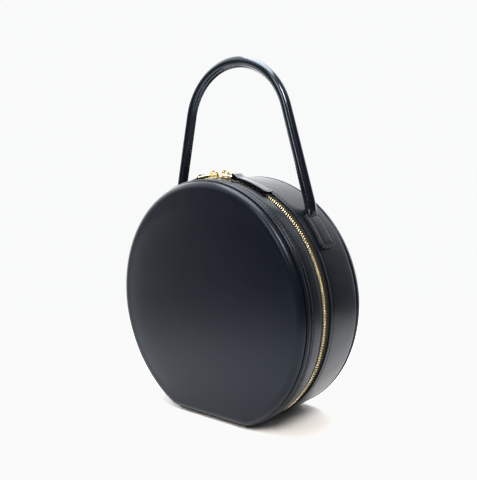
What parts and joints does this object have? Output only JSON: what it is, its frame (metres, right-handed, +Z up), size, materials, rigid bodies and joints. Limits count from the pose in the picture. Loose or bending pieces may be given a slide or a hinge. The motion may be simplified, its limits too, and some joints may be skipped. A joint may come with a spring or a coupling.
{
  "type": "circle bag",
  "caption": "Round black leather handbag with padded faces, a flat base, a gold two-way zip round the rim and a rolled top handle; the front opens like a lid.",
  "frame": {"origin": "middle of the flat base, on the surface that the bag stands on", "axes": "+X to the bag's right as seen from the front, +Y to the back, +Z up"},
  "size_m": [0.225, 0.088, 0.327],
  "materials": {
    "face_leather": "smooth semi-gloss black calf leather with a fine grain",
    "side_leather": "smooth semi-gloss black leather, a little shinier than the faces",
    "strap_leather": "glossy black strap leather with painted cut edges",
    "lining_cloth": "matt black woven lining",
    "padding_felt": "pressed felt padding",
    "fibre_board": "dense fibre board",
    "zip_tape": "matt black woven tape",
    "gold_metal": "polished pale gold plated metal"
  },
  "bodies": {
    "shell": {"rear_panel": "face_leather", "rear_padding": "padding_felt", "rear_board": "fibre_board", "rear_lining": "lining_cloth", "rear_piping": "side_leather", "rear_gusset": "side_leather", "rear_gusset_lining": "lining_cloth", "rear_zip_tape": "zip_tape", "rear_zip_teeth": "gold_metal", "front_base_piping": "side_leather", "base_panel": "side_leather", "base_board": "fibre_board", "base_lining": "lining_cloth", "left_zip_stop": "gold_metal", "right_zip_stop": "gold_metal", "left_handle_tab": "strap_leather", "right_handle_tab": "strap_leather", "left_tab_backing": "strap_leather", "right_tab_backing": "strap_leather"},
    "front_lid": {"front_panel": "face_leather", "front_padding": "padding_felt", "front_board": "fibre_board", "front_lining": "lining_cloth", "front_piping": "side_leather", "front_gusset": "side_leather", "front_gusset_lining": "lining_cloth", "front_zip_tape": "zip_tape", "front_zip_teeth": "gold_metal"},
    "left_slider": {"left_slider_body": "gold_metal", "left_slider_crown": "gold_metal"},
    "right_slider": {"right_slider_body": "gold_metal", "right_slider_crown": "gold_metal"},
    "left_pull": {"left_pull_link": "gold_metal", "left_pull_tab": "strap_leather"},
    "right_pull": {"right_pull_link": "gold_metal", "right_pull_tab": "strap_leather"},
    "handle": {"handle_cover": "strap_leather", "handle_core": "padding_felt"}
  },
  "joints": [
    {"name": "lid_open", "type": "hinge", "parent": "shell", "child": "front_lid", "pos_m": [0, -0.0387, 0.0018], "axis": [1, 0, 0], "range_deg": [0, 60]},
    {"name": "left_slider_run", "type": "hinge", "parent": "shell", "child": "left_slider", "pos_m": [0, -0.013, 0.1042], "axis": [0, -1, 0], "range_deg": [0, 112]},
    {"name": "right_slider_run", "type": "hinge", "parent": "shell", "child": "right_slider", "pos_m": [0, -0.013, 0.1042], "axis": [0, 1, 0], "range_deg": [0, 112]},
    {"name": "left_pull_swing", "type": "hinge", "parent": "left_slider", "child": "left_pull", "pos_m": [-0.00809, -0.013, 0.21962], "axis": [0, 1, 0], "range_deg": [0, 90]},
    {"name": "right_pull_swing", "type": "hinge", "parent": "right_slider", "child": "right_pull", "pos_m": [0.00809, -0.013, 0.21962], "axis": [0, -1, 0], "range_deg": [0, 90]},
    {"name": "handle_sway", "type": "hinge", "parent": "shell", "child": "handle", "pos_m": [0, 0.0114, 0.18887], "axis": [1, 0, 0], "range_deg": [-25, 25], "stiffness_Nm_per_rad": 0.3}
  ]
}
